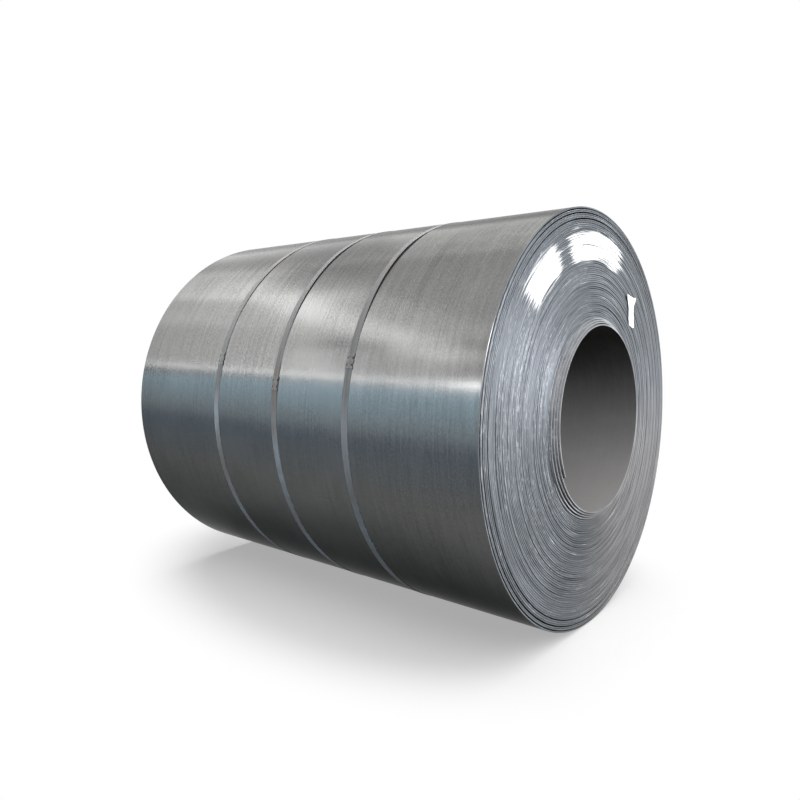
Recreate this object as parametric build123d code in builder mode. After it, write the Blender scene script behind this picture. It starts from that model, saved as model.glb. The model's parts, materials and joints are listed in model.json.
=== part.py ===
"""Steel coil on its side: one wound strip with an open eye, three sealed straps and a paper tag.

The coil's axis runs along X, its near end faces +X and it lies on its straps at Z = 0.
Angles are counted as seen from the near end, from +Y towards +Z.
"""

import os
from math import cos, degrees, hypot, radians, sin

from build123d import *

# Wound strip
bore_diameter = 762.0
strip_thickness = 8.0
strip_width = 2030.0
wrap_count = 60

# Ends: the wraps stand out of line towards the near end, most of all at the eye
loose_lap_count = 4
loose_lap_step = 7.0
firm_group_count = 4
firm_lift = 13.0
stagger = 4.0
stagger_turn_share = 0.382
rim_wrap_count = 2
rim_groove_depth = 18.0
rim_groove_share = 0.3

# Eye: the strip's inner end lies loose, and slack laps leave crescents between them
tail_angle = 210.0
tail_gap_end_angle = 150.0
tail_gap_share = 0.4
eased_end_angle = 282.0
slack_share = 0.6
slack_laps_and_angles = ((1, 62.0, 104.0), (2, 184.0, 258.0), (3, 176.0, 268.0))

# Straps and their seals
strap_width = 32.0
strap_thickness = 1.0
strap_place_shares = {"far": -0.194, "middle": 0.0, "near": 0.198}
strap_tail_above = 62.0
strap_tail_below = 42.0
seal_angles = {"far": 163.9, "middle": 170.3, "near": 163.6}
seal_length = 57.0
seal_sheet = 1.2
seal_clearance = 0.2
notch_length = 7.0
notch_depth = 4.0
notch_pitch = 27.0

# Paper tag on the near end
tag_width = 90.0
tag_height = 148.0
tag_thickness = 0.5
tag_angle = 51.2
tag_wall_share = 0.415

overrun = 20.0

bore_radius = bore_diameter / 2
rim_radius = bore_radius + wrap_count * strip_thickness
axis_height = rim_radius + strap_thickness
end_lift = firm_lift + loose_lap_count * loose_lap_step
near_rim = (strip_width - end_lift) / 2
far_rim = near_rim - strip_width
coil_axis = Axis((0, 0, axis_height), (1, 0, 0))
top_angle = 90.0


def polar(radius, angle):
    """Point in the plane of the coil's end."""
    return (radius * cos(radians(angle)), radius * sin(radians(angle)))


def radial_plane(angle):
    """Plane through the coil's axis whose local Y points outwards at the angle."""
    normal = (0, -sin(radians(angle)), cos(radians(angle)))
    return Plane(origin=coil_axis.position, x_dir=(1, 0, 0), z_dir=normal)


def end_plane(x):
    """Plane across the coil at x, seen from the near end."""
    return Plane(origin=(x, 0, axis_height), x_dir=(0, 1, 0), z_dir=(1, 0, 0))


def wrap_bands():
    """Rings of the coil's end from the eye to the rim: inner radius, outer radius, lift and setback."""
    bands = []
    for lap in range(loose_lap_count):
        inner = bore_radius + lap * strip_thickness
        lift = firm_lift + (loose_lap_count - lap) * loose_lap_step
        bands.append((inner, inner + strip_thickness, lift, 0))
    firm_start = bore_radius + loose_lap_count * strip_thickness
    firm_end = rim_radius - rim_wrap_count * strip_thickness
    group_depth = (firm_end - firm_start) / firm_group_count
    for group in range(firm_group_count):
        inner = firm_start + group * group_depth
        fall_share = group / firm_group_count
        wander_share = group * stagger_turn_share % 1
        lift = (firm_lift - stagger) * (1 - fall_share) + stagger * wander_share
        bands.append((inner, inner + group_depth, lift, 0))
    groove = strip_thickness * rim_groove_share
    for wrap in range(rim_wrap_count):
        inner = firm_end + wrap * strip_thickness
        lift = stagger * (rim_wrap_count - 1 - wrap) / rim_wrap_count
        bands.append((inner, inner + groove, lift, rim_groove_depth))
        bands.append((inner + groove, inner + strip_thickness, lift, 0))
    return bands


def crescent(radius, width, first_angle, last_angle):
    """Edges of a gap that opens outwards from a lap and closes at both ends."""
    middle_angle = (first_angle + last_angle) / 2
    first = polar(radius, first_angle)
    last = polar(radius, last_angle)
    with BuildLine() as outline:
        ThreePointArc(first, polar(radius, middle_angle), last)
        ThreePointArc(last, polar(radius + width, middle_angle), first)
    return outline.edges()


def tail_outline():
    """Edges of the room beside and behind the strip's inner end."""
    lap_radius = bore_radius + strip_thickness
    gap = strip_thickness * tail_gap_share
    gap_angle = (tail_gap_end_angle + tail_angle) / 2
    ease_angle = (tail_angle + eased_end_angle) / 2
    tip = polar(bore_radius, tail_angle)
    heel = polar(lap_radius, tail_angle)
    gap_end = polar(lap_radius, tail_gap_end_angle)
    next_lap = polar(lap_radius + gap, tail_angle)
    eased = polar(bore_radius, eased_end_angle)
    with BuildLine() as outline:
        Line(tip, heel)
        ThreePointArc(heel, polar(lap_radius, gap_angle), gap_end)
        ThreePointArc(gap_end, polar(lap_radius + gap / 2, gap_angle), next_lap)
        ThreePointArc(next_lap, polar(bore_radius + strip_thickness / 2, ease_angle), eased)
        Line(eased, tip)
    return outline.edges()


def hoop_section(x, inner, outer, width):
    """Rectangle of a hoop's cross-section, standing on the inner radius."""
    with Locations((x, (inner + outer) / 2)):
        Rectangle(width, outer - inner)


def cut_notches(x, angle):
    """Cut the crimp notches into both edges of the strap or seal being built."""
    side, lift = polar(rim_radius, angle)
    outward = (0, cos(radians(angle)), sin(radians(angle)))
    seat = Plane(origin=(x, side, axis_height + lift), x_dir=(1, 0, 0), z_dir=outward)
    cutter_width = notch_depth + seal_sheet + overrun
    across = strap_width - 2 * notch_depth + cutter_width
    with Locations(seat):
        with GridLocations(across, notch_pitch, 2, 2):
            Box(cutter_width, notch_length, 2 * overrun, mode=Mode.SUBTRACT)


def write(builder, name):
    """Label a finished piece and write it."""
    builder.part.label = name
    export_step(builder.part, f"parts/{name}.step")


os.makedirs("parts", exist_ok=True)
bands = wrap_bands()

with BuildPart() as coil:
    near_edge = []
    far_edge = []
    for inner, outer, lift, setback in bands:
        near_x = near_rim + lift - setback
        far_x = far_rim + lift + setback
        near_edge += [(near_x, inner), (near_x, outer)]
        far_edge += [(far_x, inner), (far_x, outer)]
    with BuildSketch(radial_plane(top_angle)):
        with BuildLine():
            Polyline(*near_edge, *reversed(far_edge), close=True)
        make_face()
    revolve(axis=coil_axis)
    with BuildSketch(end_plane(far_rim - overrun)):
        for lap, first_angle, last_angle in slack_laps_and_angles:
            lap_radius = bore_radius + lap * strip_thickness
            opening = strip_thickness * slack_share
            make_face(crescent(lap_radius, opening, first_angle, last_angle))
        make_face(tail_outline())
    extrude(amount=strip_width + end_lift + 2 * overrun, mode=Mode.SUBTRACT)
write(coil, "coil")

for name, place_share in strap_place_shares.items():
    strap_x = strip_width * place_share
    seal_angle = seal_angles[name]
    lap_top = rim_radius + 2 * strap_thickness

    with BuildPart() as strap:
        with BuildSketch(radial_plane(top_angle)):
            hoop_section(strap_x, rim_radius, rim_radius + strap_thickness, strap_width)
        revolve(axis=coil_axis)
        above = degrees((seal_length / 2 + strap_tail_above) / rim_radius)
        below = degrees((seal_length / 2 + strap_tail_below) / rim_radius)
        with BuildSketch(radial_plane(seal_angle - above)):
            hoop_section(strap_x, rim_radius + strap_thickness, lap_top, strap_width)
        revolve(axis=coil_axis, revolution_arc=above + below)
        cut_notches(strap_x, seal_angle)
    write(strap, f"strap_{name}")

    with BuildPart() as seal:
        inner_width = strap_width + 2 * seal_clearance
        outer_width = inner_width + 2 * seal_sheet
        half_arc = degrees(seal_length / 2 / rim_radius)
        with BuildSketch(radial_plane(seal_angle - half_arc)):
            hoop_section(strap_x, rim_radius, lap_top + seal_sheet, outer_width)
            with Locations((strap_x, (rim_radius + lap_top) / 2)):
                Rectangle(inner_width, lap_top - rim_radius, mode=Mode.SUBTRACT)
        revolve(axis=coil_axis, revolution_arc=2 * half_arc)
        cut_notches(strap_x, seal_angle)
    write(seal, f"seal_{name}")

tag_radius = bore_radius + (rim_radius - bore_radius) * tag_wall_share
tag_reach = hypot(tag_width, tag_height) / 2
tag_lifts = [
    lift
    for inner, outer, lift, setback in bands
    if outer > tag_radius - tag_reach and inner < tag_radius + tag_reach and not setback
]

with BuildPart() as paper_tag:
    with BuildSketch(end_plane(near_rim + max(tag_lifts))):
        with Locations(polar(tag_radius, tag_angle)):
            Rectangle(tag_width, tag_height)
    extrude(amount=tag_thickness)
write(paper_tag, "paper_tag")
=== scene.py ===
"""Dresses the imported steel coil: wound turns, loose inner laps, sealed straps, a paper tag and a studio.

The coil's axis runs along X, its near end faces +X, and it lies on the floor at Z = 0. Angles are
counted in degrees as seen from the near end, from +Y towards +Z. Sizes in millimetres end in _mm,
and all others are in metres.
"""

from __future__ import annotations

import json
import logging
import math
from dataclasses import dataclass
from enum import Enum

import bmesh
import bpy
from mathutils import Matrix, Vector, noise


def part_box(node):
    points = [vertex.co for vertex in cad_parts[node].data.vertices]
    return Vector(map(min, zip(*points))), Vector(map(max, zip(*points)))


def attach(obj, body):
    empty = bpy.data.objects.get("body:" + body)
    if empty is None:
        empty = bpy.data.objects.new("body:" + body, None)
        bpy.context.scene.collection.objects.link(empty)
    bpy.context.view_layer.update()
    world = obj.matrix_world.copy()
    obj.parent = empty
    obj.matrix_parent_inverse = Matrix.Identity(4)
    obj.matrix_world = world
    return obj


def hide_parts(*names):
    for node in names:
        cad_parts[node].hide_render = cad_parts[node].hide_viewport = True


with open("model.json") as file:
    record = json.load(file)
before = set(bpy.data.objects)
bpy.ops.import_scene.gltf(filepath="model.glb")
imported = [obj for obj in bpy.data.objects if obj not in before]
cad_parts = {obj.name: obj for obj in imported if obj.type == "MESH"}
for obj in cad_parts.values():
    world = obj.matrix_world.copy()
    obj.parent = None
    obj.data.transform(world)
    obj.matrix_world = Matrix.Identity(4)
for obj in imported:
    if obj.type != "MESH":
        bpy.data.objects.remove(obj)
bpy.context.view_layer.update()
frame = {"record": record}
MM = 0.001
BODY = "root"
log = logging.getLogger("steel_coil")

FULL_TURN = 360.0
TOP_ANGLE = 90.0
# A face whose normal has at least this share of a direction faces that way.
FACING_SHARE = 0.9
# Nearly all values of a noise texture lie between these.
NOISE_SPAN = (0.25, 0.75)
# X, Y and Z of a point, in space or in a noise.
Place = tuple[float, float, float]
# Readings where a change starts and where it is full, then the results there.
Ramp = tuple[float, float, float, float]


class Slot(Enum):
    """Material slots of the record."""

    COIL = "rolled_steel"
    STRAP = "strap_steel"
    SEAL = "seal_steel"
    PAPER = "paper"


class End(Enum):
    """The coil's two ends, by the way each one faces along X."""

    NEAR = 1
    FAR = -1


class Across(Enum):
    """What a streak's width is measured along."""

    WIDTH = "along"
    WALL = "radius"


def linear(hex_colour: str) -> tuple[float, float, float, float]:
    """Turn an sRGB hex colour into linear RGBA.

    Args:
        hex_colour: Six hex digits with a leading hash.

    Returns:
        The colour as Blender's sockets take it.
    """
    channels = [int(hex_colour[place : place + 2], 16) / 255 for place in (1, 3, 5)]
    red, green, blue = (c / 12.92 if c <= 0.04045 else ((c + 0.055) / 1.055) ** 2.4 for c in channels)
    return (red, green, blue, 1.0)


def smooth_share(value: float) -> float:
    """Ease a value from 0 to 1, flat at both ends."""
    share = min(max(value, 0.0), 1.0)
    return share * share * (3 - 2 * share)


def ring_noise(seed: float, angle: float, lobes: float) -> float:
    """Read smooth noise on a ring, with no seam.

    Args:
        seed: Number that sets rings apart.
        angle: Degrees round the ring.
        lobes: Radius of the ring in the noise's own scale, so a larger one has more lobes.

    Returns:
        The noise, from -1 to 1.
    """
    turn = math.radians(angle)
    return noise.noise(Vector((seed, lobes * math.cos(turn), lobes * math.sin(turn))))


def add_node(
    tree: bpy.types.NodeTree,
    kind: str,
    inputs: dict | tuple = (),
    output: int | str = 0,
    stops: tuple[tuple[float, str], ...] = (),
    **settings,
) -> bpy.types.NodeSocket:
    """Add a node, give it its settings, and link or set its inputs.

    Args:
        tree: Node tree that takes the node.
        kind: Blender's name for the node type.
        inputs: Values, or outputs that feed the node, in the order of its sockets or keyed by socket.
        output: Name or number of the output to hand back.
        stops: Place and sRGB hex colour of each stop, where the node is a ramp.
        **settings: Properties of the node itself.

    Returns:
        The chosen output of the new node.
    """
    node = tree.nodes.new(kind)
    for name, value in settings.items():
        setattr(node, name, value)
    for socket, value in inputs.items() if isinstance(inputs, dict) else enumerate(inputs):
        if isinstance(value, bpy.types.NodeSocket):
            tree.links.new(value, node.inputs[socket])
        else:
            node.inputs[socket].default_value = value
    for place, (position, colour) in enumerate(stops):
        elements = node.color_ramp.elements
        element = elements[place] if place < len(elements) else elements.new(position)
        element.position, element.color = position, linear(colour)
    return node.outputs[output]


@dataclass(frozen=True)
class CoilSizes:
    """Sizes of the wound coil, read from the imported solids."""

    bore_radius: float
    rim_radius: float
    axis_height: float
    strip_width: float
    near_tip: float
    far_rim: float
    # The strip is drawn a little thinner than the wraps' pitch, so that the gaps between them show.
    pitch: float = 8.0 * MM
    strip: float = 6.7 * MM
    lap_count: int = 4
    lap_step: float = 7.0 * MM

    @classmethod
    def from_frame(cls) -> CoilSizes:
        """Read the sizes from the eye mount and the coil's box."""
        eye = next(mount for mount in frame["record"]["mounts"] if mount["name"] == "eye")
        low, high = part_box("coil")
        return cls(
            bore_radius=eye["dims"]["r_mm"] * MM,
            rim_radius=(high[2] - low[2]) / 2,
            axis_height=(high[2] + low[2]) / 2,
            strip_width=eye["dims"]["length_mm"] * MM,
            near_tip=high[0],
            far_rim=low[0],
        )

    @property
    def near_rim(self) -> float:
        """X of the outermost wrap's near edge."""
        return self.far_rim + self.strip_width

    @property
    def end_lift(self) -> float:
        """How far the innermost lap stands out of the rim's plane."""
        return self.near_tip - self.near_rim

    @property
    def wrap_count(self) -> int:
        """Number of wraps from the eye to the rim."""
        return round((self.rim_radius - self.bore_radius) / self.pitch)

    def point(self, x: float, radius: float, angle: float) -> Vector:
        """Point at x, at a radius and an angle about the coil's axis."""
        turn = math.radians(angle)
        return Vector((x, radius * math.cos(turn), self.axis_height + radius * math.sin(turn)))

    def polar(self, place: Vector) -> tuple[float, float]:
        """Radius and angle of a place about the coil's axis."""
        rise = place.z - self.axis_height
        return math.hypot(place.y, rise), math.degrees(math.atan2(rise, place.y)) % FULL_TURN


@dataclass(frozen=True)
class Streak:
    """Size of one mark in a pattern that is drawn out round the coil."""

    across: Across
    width_mm: float
    length_mm: float
    octaves: float = 3.0
    # How strongly each finer octave shows.
    crispness: float = 0.6


class Surface:
    """A material in the making, with the nodes that say where each point lies on the coil."""

    def __init__(self, name: str, sizes: CoilSizes) -> None:
        """Start from an empty Principled surface.

        Args:
            name: Name of the material.
            sizes: The coil's sizes.
        """
        self.material = bpy.data.materials.new(name)
        self.material.use_nodes = True
        self.tree = self.material.node_tree
        self.shader = self.tree.nodes["Principled BSDF"]
        axis = (0, 0, sizes.axis_height)
        place = self.add("ShaderNodeTexCoord", output="Object")
        centred = self.add("ShaderNodeVectorMath", (place, axis), operation="SUBTRACT")
        parts = self.add("ShaderNodeSeparateXYZ", (centred,)).node.outputs
        across = self.add("ShaderNodeCombineXYZ", {"Y": parts["Y"], "Z": parts["Z"]})
        turn = self.add("ShaderNodeVectorMath", (across,), operation="NORMALIZE")
        self.turn = self.add("ShaderNodeSeparateXYZ", (turn,)).node.outputs
        self.fields = {
            Across.WIDTH: parts["X"],
            Across.WALL: self.add("ShaderNodeVectorMath", (across,), "Value", operation="LENGTH"),
        }

    def add(
        self, kind: str, inputs: dict | tuple = (), output: int | str = 0, **settings
    ) -> bpy.types.NodeSocket:
        """Add a node to this material."""
        return add_node(self.tree, kind, inputs, output, **settings)

    def streaks(self, streak: Streak, radius: float) -> bpy.types.NodeSocket:
        """Add noise that is drawn out round the coil, the way the strip ran, with no seam.

        Args:
            streak: Size of one mark.
            radius: Radius at which its length holds.

        Returns:
            The noise, from 0 to 1.
        """
        widths = 1 / (streak.width_mm * MM)
        lengths = radius / (streak.length_mm * MM)
        fields = ((self.fields[streak.across], widths), (self.turn["Y"], lengths), (self.turn["Z"], lengths))
        scaled = [self.add("ShaderNodeMath", field, operation="MULTIPLY") for field in fields]
        place = self.add("ShaderNodeCombineXYZ", tuple(scaled))
        pattern = {"Vector": place, "Scale": 1.0, "Detail": streak.octaves, "Roughness": streak.crispness}
        return self.add("ShaderNodeTexNoise", pattern, "Fac")

    def show(self, **inputs: bpy.types.NodeSocket | float | tuple) -> bpy.types.Material:
        """Feed the shader's inputs.

        Args:
            **inputs: Input name with underscores for spaces, to an output or a fixed value.

        Returns:
            The finished material.
        """
        for name, value in inputs.items():
            socket = self.shader.inputs[name.replace("_", " ")]
            if isinstance(value, bpy.types.NodeSocket):
                self.tree.links.new(value, socket)
            else:
                socket.default_value = value
        return self.material


@dataclass(frozen=True)
class MillScale:
    """Skin of hot-rolled strip: a thin grey iron oxide, rolled smooth and lightly oiled."""

    sizes: CoilSizes
    name: str = "mill_scale_hot_rolled"
    dark: str = "#494948"
    middle: str = "#575756"
    light: str = "#666564"
    tone_stops: tuple[float, float, float] = (0.3, 0.5, 0.72)
    streak: Streak = Streak(Across.WIDTH, 10.0, 420.0, 4.0)
    # Real scale is finer than a pixel, so its grain is drawn this coarse to show.
    grain: Streak = Streak(Across.WIDTH, 4.0, 8.0, 2.0)
    grain_share: float = 0.6
    grain_strength: float = 0.06
    grain_depth_mm: float = 0.2
    bloom: str = "#5f5f5e"
    cloud: Streak = Streak(Across.WIDTH, 300.0, 300.0, 4.0)
    cloud_ramp: Ramp = (0.48, 0.7, 0.0, 0.55)
    # The strip's waves follow the same clouds.
    wave_strength: float = 0.2
    wave_depth_mm: float = 0.8
    scuff: str = "#3c3d3d"
    scuff_mark: Streak = Streak(Across.WIDTH, 16.0, 90.0)
    scuff_ramp: Ramp = (0.54, 0.78, 0.0, 0.4)
    # Scuffs show most towards the near end, by place along the coil.
    handled_ramp: Ramp = (0.35, 0.75, 0.15, 0.8)
    # The tone turns paler from the first height down to the second, in radii above the axis.
    low_pale: str = "#918f8c"
    low_pale_rises: tuple[float, float] = (0.5, -0.9)
    low_pale_share: float = 0.0
    # Faint blue at the coil's sides, a painted reflection: it comes in over the first two heights,
    # goes over the last two, in radii above the axis, and its edges wander by the uneven share.
    blue_reflection_tint: str = "#e3f1ff"
    blue_reflection_rises: tuple[float, float, float, float] = (-0.28, -0.08, -0.06, 0.02)
    blue_reflection_uneven_share: float = 0.16
    roughness: tuple[float, float] = (0.17, 0.22)
    metallic: float = 0.74
    specular: float = 0.0
    edge_tint: str = "#a4a4a4"

    def material(self) -> bpy.types.Material:
        """Build the material."""
        # To the eye: satin grey, with soft bright reflections along the coil, a faint grain in the
        # rolling direction, cloudy bloom, a painted blue reflection at the sides and a few darker scuffs.
        finish = Surface(self.name, self.sizes)
        patterns = (self.streak, self.cloud, self.grain, self.scuff_mark)
        streak, clouds, grain, scuffs = (
            finish.streaks(pattern, self.sizes.rim_radius) for pattern in patterns
        )
        rise = finish.turn["Z"]
        mixed = finish.add("ShaderNodeMix", {0: self.grain_share, 2: streak, 3: grain})
        stops = tuple(zip(self.tone_stops, (self.dark, self.middle, self.light)))
        tone = finish.add("ShaderNodeValToRGB", (mixed,), stops=stops)
        cloudy = finish.add("ShaderNodeMapRange", (clouds, *self.cloud_ramp))
        scuffed = finish.add("ShaderNodeMapRange", (scuffs, *self.scuff_ramp))
        handled = finish.add("ShaderNodeMapRange", (finish.fields[Across.WIDTH], *self.handled_ramp))
        worn = finish.add("ShaderNodeMath", (scuffed, handled), operation="MULTIPLY")
        paled = finish.add("ShaderNodeMapRange", (rise, *self.low_pale_rises, 0.0, self.low_pale_share))
        for share, colour in ((cloudy, self.bloom), (worn, self.scuff), (paled, self.low_pale)):
            layer = {0: share, 6: tone, 7: linear(colour)}
            tone = finish.add("ShaderNodeMix", layer, 2, data_type="RGBA")
        # Painted blue reflection, low on the coil's sides.
        uneven = self.blue_reflection_uneven_share
        level = finish.add("ShaderNodeMath", (streak, uneven, rise), operation="MULTIPLY_ADD")
        bottom, full, ebb, top = (height + uneven / 2 for height in self.blue_reflection_rises)
        coming = finish.add("ShaderNodeMapRange", (level, bottom, full))
        going = finish.add("ShaderNodeMapRange", (level, ebb, top, 1.0, 0.0))
        blue_reflected = finish.add("ShaderNodeMath", (coming, going), operation="MULTIPLY")
        layer = {0: blue_reflected, 6: tone, 7: linear(self.blue_reflection_tint)}
        tone = finish.add("ShaderNodeMix", layer, 2, data_type="RGBA", blend_type="MULTIPLY")
        rough = finish.add("ShaderNodeMapRange", (mixed, *NOISE_SPAN, *self.roughness))
        relief = {"Height": clouds, "Strength": self.wave_strength, "Distance": self.wave_depth_mm * MM}
        waves = finish.add("ShaderNodeBump", relief)
        relief = {"Height": mixed, "Strength": self.grain_strength, "Distance": self.grain_depth_mm * MM}
        bump = finish.add("ShaderNodeBump", {**relief, "Normal": waves})
        return finish.show(
            Base_Color=tone, Roughness=rough, Metallic=self.metallic, Normal=bump,
            Specular_IOR_Level=self.specular, Specular_Tint=linear(self.edge_tint),
        )


@dataclass(frozen=True)
class WrapEdges:
    """Mill edges of the wound strip: bare rolled steel, dulled by air and handling."""

    sizes: CoilSizes
    painted: bool
    name: str = "mill_edge_steel"
    dark: str = "#42474b"
    middle: str = "#5e6368"
    light: str = "#7e8387"
    tone_stops: tuple[float, float, float] = (0.28, 0.5, 0.74)
    # A streak is a little narrower than a wrap, and a broad one covers nine wraps.
    streak: Streak = Streak(Across.WALL, 5.6, 170.0, 4.0)
    broad: Streak = Streak(Across.WALL, 72.0, 425.0)
    # Colour of the painted glints on the burrs.
    painted_glint: str = "#dfe2e4"
    burr_mark: Streak = Streak(Across.WALL, 4.0, 30.0)
    glint_ramp: Ramp = (0.52, 0.72, 0.0, 0.5)
    burr_strength: float = 0.3
    burr_depth_mm: float = 0.6
    # Painted glints on the burrs: they show on one side of the ends more than the other.
    glint_lean: float = 0.2
    glint_side_ramp: Ramp = (0.55, 0.78, 0.0, 1.0)
    # The blue goes to grey low on one side, by weights of the place to the side and of the height.
    grey_lean: tuple[float, float] = (0.7, -0.8)
    colour_ramp: Ramp = (0.55, 0.95, 1.0, 0.0)
    # Painted shade: the edges are darker towards the floor, by height in radii above the axis.
    painted_shade_ramp: Ramp = (-0.3, -1.0, 1.0, 0.68)
    # Colour of the painted shade in the gaps between wraps.
    painted_shade: str = "#1a1c1e"
    paint: str = "#f4f4f2"
    paint_reach_mm: tuple[float, float] = (648.0, 772.0)
    paint_angles: tuple[tuple[float, float], tuple[float, float]] = ((68.0, 110.0), (117.0, 140.0))
    paint_soft_mm: float = 22.0
    paint_soft_angle: float = 4.0
    paint_ragged_mm: float = 34.0
    # How strongly the wraps break the paint up, and how far short of full cover it starts and ends.
    paint_break: float = 2.4
    paint_shortfall: tuple[float, float] = (0.6, 0.1)
    # Less paint reaches into the gaps between wraps.
    paint_gap_ramp: Ramp = (0.2, 0.9, 1.0, 0.35)
    paint_roughness: float = 0.7
    roughness: tuple[float, float] = (0.28, 0.42)
    metallic: float = 0.35
    anisotropic: float = 0.92

    def paint_cover(
        self, finish: Surface, patchy: bpy.types.NodeSocket, broken: bpy.types.NodeSocket
    ) -> bpy.types.NodeSocket:
        """Add the nodes for how much marking paint covers each point.

        Args:
            finish: The material in the making.
            patchy: Noise that makes the edges of the paint wander.
            broken: Noise that breaks the paint up along the wraps.

        Returns:
            The share of paint, from 0 to 1.
        """
        ragged = self.paint_ragged_mm * MM
        soft = self.paint_soft_mm * MM
        low, high = (reach * MM for reach in self.paint_reach_mm)
        wander = finish.add("ShaderNodeMath", (patchy, ragged, -ragged / 2), operation="MULTIPLY_ADD")
        radius = finish.add("ShaderNodeMath", (finish.fields[Across.WALL], wander), operation="ADD")
        angle = finish.add("ShaderNodeMath", (finish.turn["Z"], finish.turn["Y"]), operation="ARCTAN2")
        lean = finish.add("ShaderNodeMath", (wander, 2 / (low + high), angle), operation="MULTIPLY_ADD")
        inner = finish.add("ShaderNodeMapRange", (radius, low - soft, low + soft))
        outer = finish.add("ShaderNodeMapRange", (radius, high - soft, high + soft, 1.0, 0.0))
        ring = finish.add("ShaderNodeMath", (inner, outer), operation="MULTIPLY")
        patches = []
        for limits in self.paint_angles:
            (first, start), (stop, last) = (
                (math.radians(limit - self.paint_soft_angle), math.radians(limit + self.paint_soft_angle))
                for limit in limits
            )
            starts = finish.add("ShaderNodeMapRange", (lean, first, start))
            ends = finish.add("ShaderNodeMapRange", (lean, stop, last, 1.0, 0.0))
            patches.append(finish.add("ShaderNodeMath", (starts, ends), operation="MULTIPLY"))
        both = finish.add("ShaderNodeMath", tuple(patches), operation="MAXIMUM")
        cover = finish.add("ShaderNodeMath", (ring, both), operation="MULTIPLY")
        mottled = finish.add("ShaderNodeMath", (broken, self.paint_break, cover), operation="MULTIPLY_ADD")
        full = 1 + self.paint_break / 2
        limits = (full - shortfall for shortfall in self.paint_shortfall)
        return finish.add("ShaderNodeMapRange", (mottled, *limits))

    def material(self) -> bpy.types.Material:
        """Build the material."""
        # To the eye: blue-grey rings with a silky sheen that turns with the light, painted glints of
        # bright burrs on one side, painted shade in the gaps and towards the floor, and on one end patches of
        # white marking paint.
        finish = Surface(f"{self.name}_painted" if self.painted else self.name, self.sizes)
        radius = (self.sizes.bore_radius + self.sizes.rim_radius) / 2
        patterns = (self.streak, self.broad, self.burr_mark)
        wraps, broad, burrs = (finish.streaks(pattern, radius) for pattern in patterns)
        aside, rise = finish.turn["Y"], finish.turn["Z"]
        stops = tuple(zip(self.tone_stops, (self.dark, self.middle, self.light)))
        tone = finish.add("ShaderNodeValToRGB", (wraps,), stops=stops)
        # Painted glints: the burrs shine on one side of the ends.
        leaning = finish.add("ShaderNodeMath", (aside, -self.glint_lean, broad), operation="MULTIPLY_ADD")
        glint_side = finish.add("ShaderNodeMapRange", (leaning, *self.glint_side_ramp))
        bright = finish.add("ShaderNodeMapRange", (burrs, *self.glint_ramp))
        shine = finish.add("ShaderNodeMath", (glint_side, bright), operation="MULTIPLY")
        layer = {0: shine, 6: tone, 7: linear(self.painted_glint)}
        tone = finish.add("ShaderNodeMix", layer, 2, data_type="RGBA")
        side_weight, rise_weight = self.grey_lean
        lower = finish.add("ShaderNodeMath", (aside, side_weight), operation="MULTIPLY")
        lower = finish.add("ShaderNodeMath", (rise, rise_weight, lower), operation="MULTIPLY_ADD")
        colour = finish.add("ShaderNodeMapRange", (lower, *self.colour_ramp))
        # Painted shade darkens the edges towards the floor.
        value = finish.add("ShaderNodeMapRange", (rise, *self.painted_shade_ramp))
        tone = finish.add("ShaderNodeHueSaturation", {"Saturation": colour, "Value": value, "Color": tone})
        rough = finish.add("ShaderNodeMapRange", (wraps, *NOISE_SPAN, *self.roughness))
        # Painted shade darkens the gaps between wraps, by the gap layer.
        gap = finish.add("ShaderNodeAttribute", output="Fac", attribute_name="gap")
        layer = {0: gap, 6: tone, 7: linear(self.painted_shade)}
        tone = finish.add("ShaderNodeMix", layer, 2, data_type="RGBA")
        metal: bpy.types.NodeSocket | float = self.metallic
        if self.painted:
            cover = self.paint_cover(finish, broad, wraps)
            thin = finish.add("ShaderNodeMapRange", (gap, *self.paint_gap_ramp))
            cover = finish.add("ShaderNodeMath", (cover, thin), operation="MULTIPLY")
            layer = {0: cover, 6: tone, 7: linear(self.paint)}
            tone = finish.add("ShaderNodeMix", layer, 2, data_type="RGBA")
            rough = finish.add("ShaderNodeMix", {0: cover, 2: rough, 3: self.paint_roughness})
            metal = finish.add("ShaderNodeMapRange", (cover, 0.0, 1.0, self.metallic, 0.0))
        relief = {"Height": burrs, "Strength": self.burr_strength, "Distance": self.burr_depth_mm * MM}
        bump = finish.add("ShaderNodeBump", relief)
        tangent = finish.add("ShaderNodeTangent", direction_type="RADIAL", axis="X")
        return finish.show(
            Base_Color=tone, Roughness=rough, Metallic=metal, Normal=bump, Tangent=tangent,
            Anisotropic=self.anisotropic,
        )


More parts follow.
